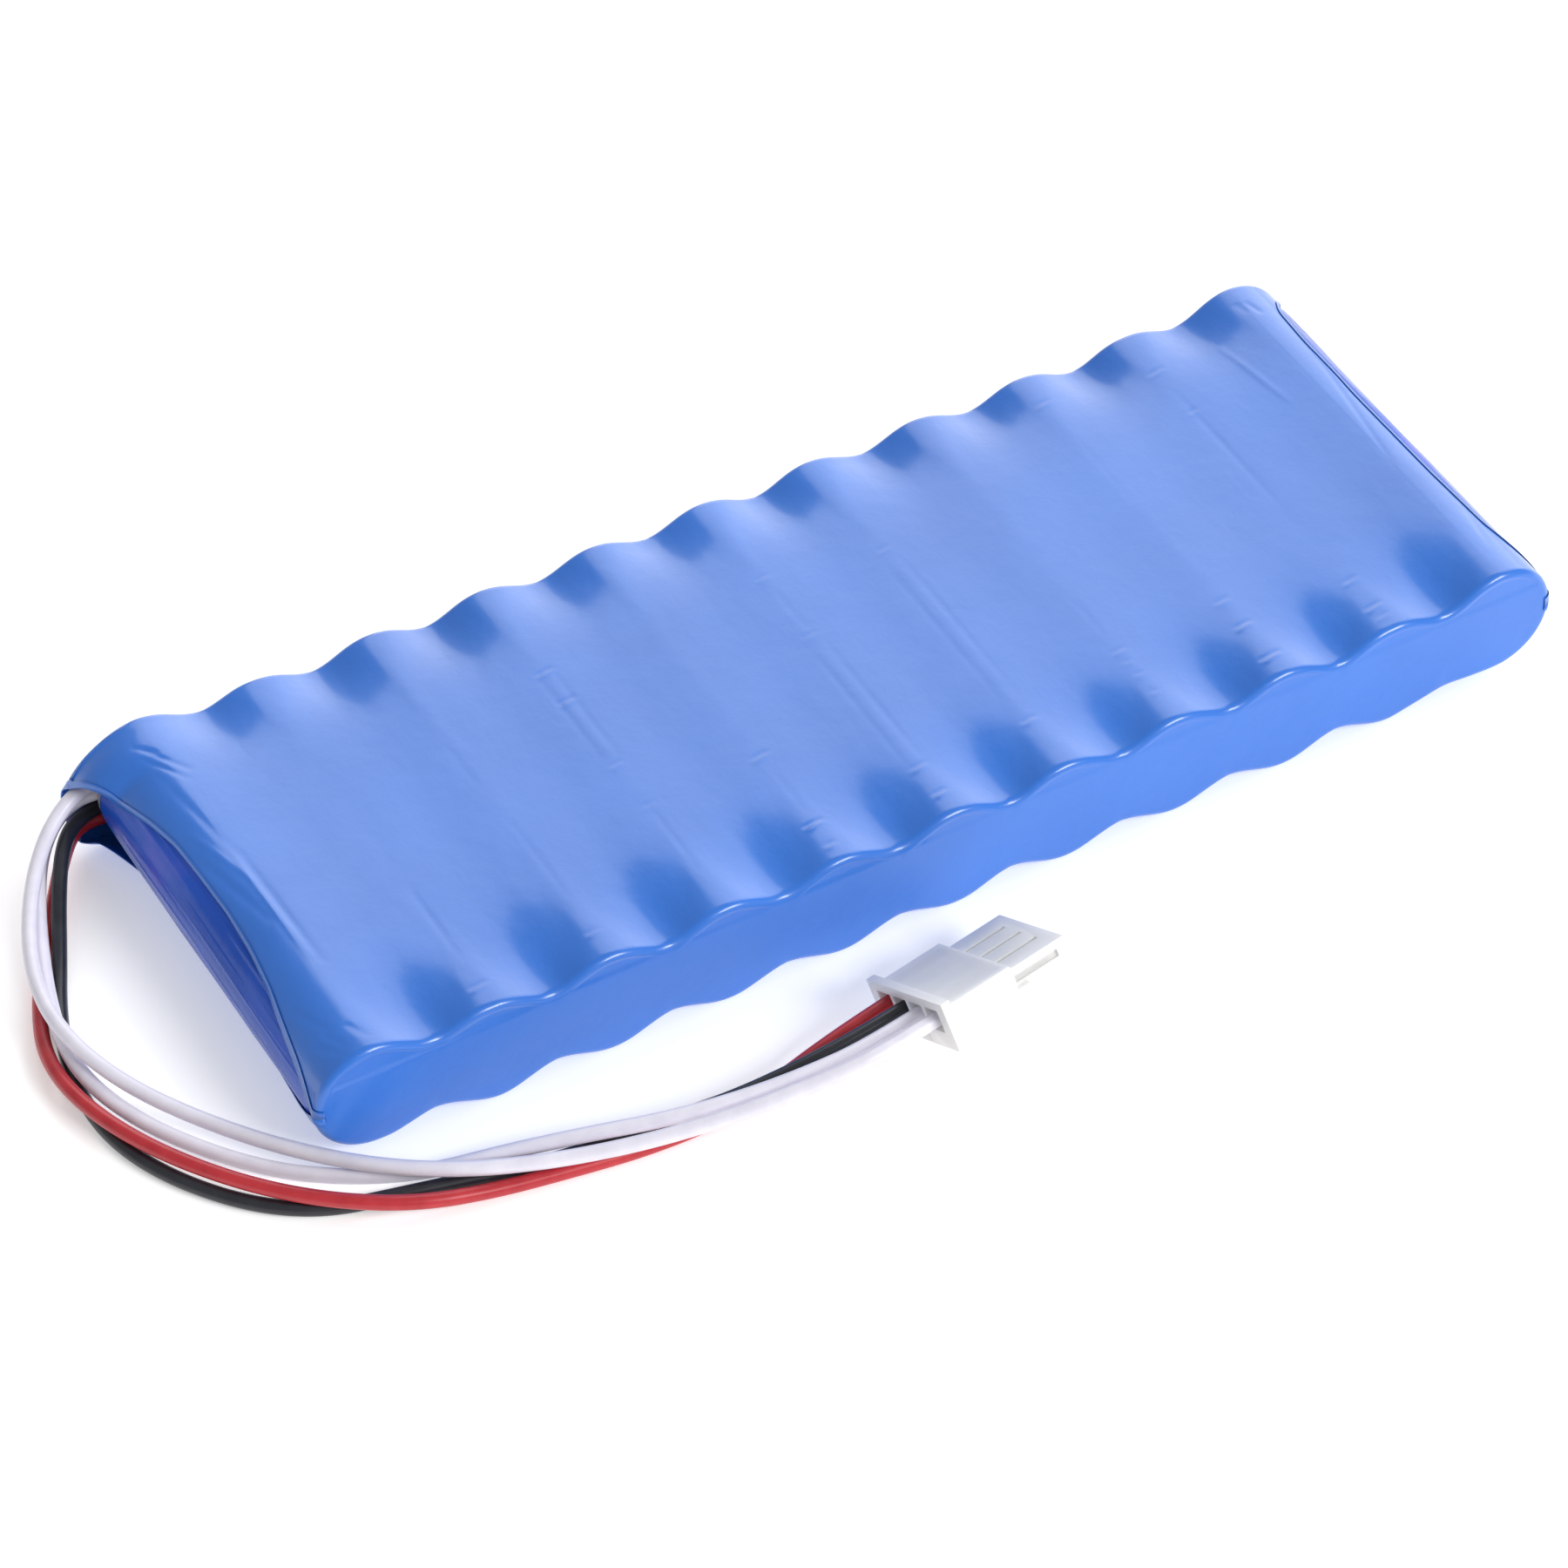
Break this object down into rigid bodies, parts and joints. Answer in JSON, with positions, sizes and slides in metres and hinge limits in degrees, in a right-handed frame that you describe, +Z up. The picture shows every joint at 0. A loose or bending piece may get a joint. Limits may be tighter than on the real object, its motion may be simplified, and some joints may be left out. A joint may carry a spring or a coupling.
{
  "type": "battery pack",
  "caption": "Flat row of cylindrical cells wrapped in shrunk blue film, with four insulated leads ending in an inline latching plug.",
  "frame": {"origin": "on the ground, under the middle of the wrapped row of cells, cords and plug left out", "axes": "+X along the row, away from the end where the leads come out; +Y along the cells, towards the side the leads run on; +Z up"},
  "size_m": [0.2118, 0.1006, 0.0188],
  "materials": {
    "amber_tape": "polyimide tape",
    "black_vinyl": "glossy vinyl insulation",
    "blue_film": "semi-gloss heat-shrink vinyl",
    "can_steel": "nickel-plated, satin",
    "clear_sleeve": "shrunk sleeve",
    "electrode": "dull grey wound foil",
    "fibre_paper": "pressed fibre",
    "hot_glue": "hot-melt",
    "jacket_film": "shrunk vinyl",
    "natural_nylon": "natural moulded nylon, satin",
    "nickel_strip": "rolled nickel strip",
    "red_vinyl": "glossy vinyl insulation",
    "seal_nylon": "moulded nylon",
    "sensor_resin": "epoxy bead",
    "solder": "bright solder",
    "tinned_brass": "tin-plated brass",
    "tinned_wire": "tinned copper",
    "white_vinyl": "glossy vinyl insulation"
  },
  "bodies": {
    "pack": {"button_washers": "fibre_paper", "cap_seals": "seal_nylon", "cell_can_01": "can_steel", "cell_can_02": "can_steel", "cell_can_03": "can_steel", "cell_can_04": "can_steel", "cell_can_05": "can_steel", "cell_can_06": "can_steel", "cell_can_07": "can_steel", "cell_can_08": "can_steel", "cell_can_09": "can_steel", "cell_can_10": "can_steel", "cell_can_11": "can_steel", "cell_jackets": "jacket_film", "contact_black": "tinned_brass", "contact_red": "tinned_brass", "contact_white_a": "tinned_brass", "contact_white_b": "tinned_brass", "electrode_rolls": "electrode", "end_patch_left": "blue_film", "end_patch_right": "blue_film", "far_board": "fibre_paper", "film_sleeve": "blue_film", "glue_beads": "hot_glue", "inner_lead_black": "black_vinyl", "inner_lead_red": "red_vinyl", "inner_lead_white_a": "white_vinyl", "inner_lead_white_b": "white_vinyl", "lead_tapes": "amber_tape", "link_far_1": "nickel_strip", "link_far_2": "nickel_strip", "link_far_3": "nickel_strip", "link_far_4": "nickel_strip", "link_far_5": "nickel_strip", "link_near_1": "nickel_strip", "link_near_2": "nickel_strip", "link_near_3": "nickel_strip", "link_near_4": "nickel_strip", "link_near_5": "nickel_strip", "near_board": "fibre_paper", "negative_tab": "nickel_strip", "plug_housing": "natural_nylon", "positive_caps": "can_steel", "positive_tab": "nickel_strip", "sensor_bead": "sensor_resin", "sensor_legs": "tinned_wire", "solder_joints": "solder", "splice_sleeves": "clear_sleeve", "wire_black": "black_vinyl", "wire_red": "red_vinyl", "wire_white_a": "white_vinyl", "wire_white_b": "white_vinyl"},
    "lever": {"latch_lever": "natural_nylon"}
  },
  "joints": [
    {"name": "lever_rock", "type": "hinge", "parent": "pack", "child": "lever", "pos_m": [-0.01299, -0.05597, 0.00608], "axis": [-0.0873, 0.8675, -0.4897], "range_deg": [0, 5], "stiffness_Nm_per_rad": 0.1}
  ]
}
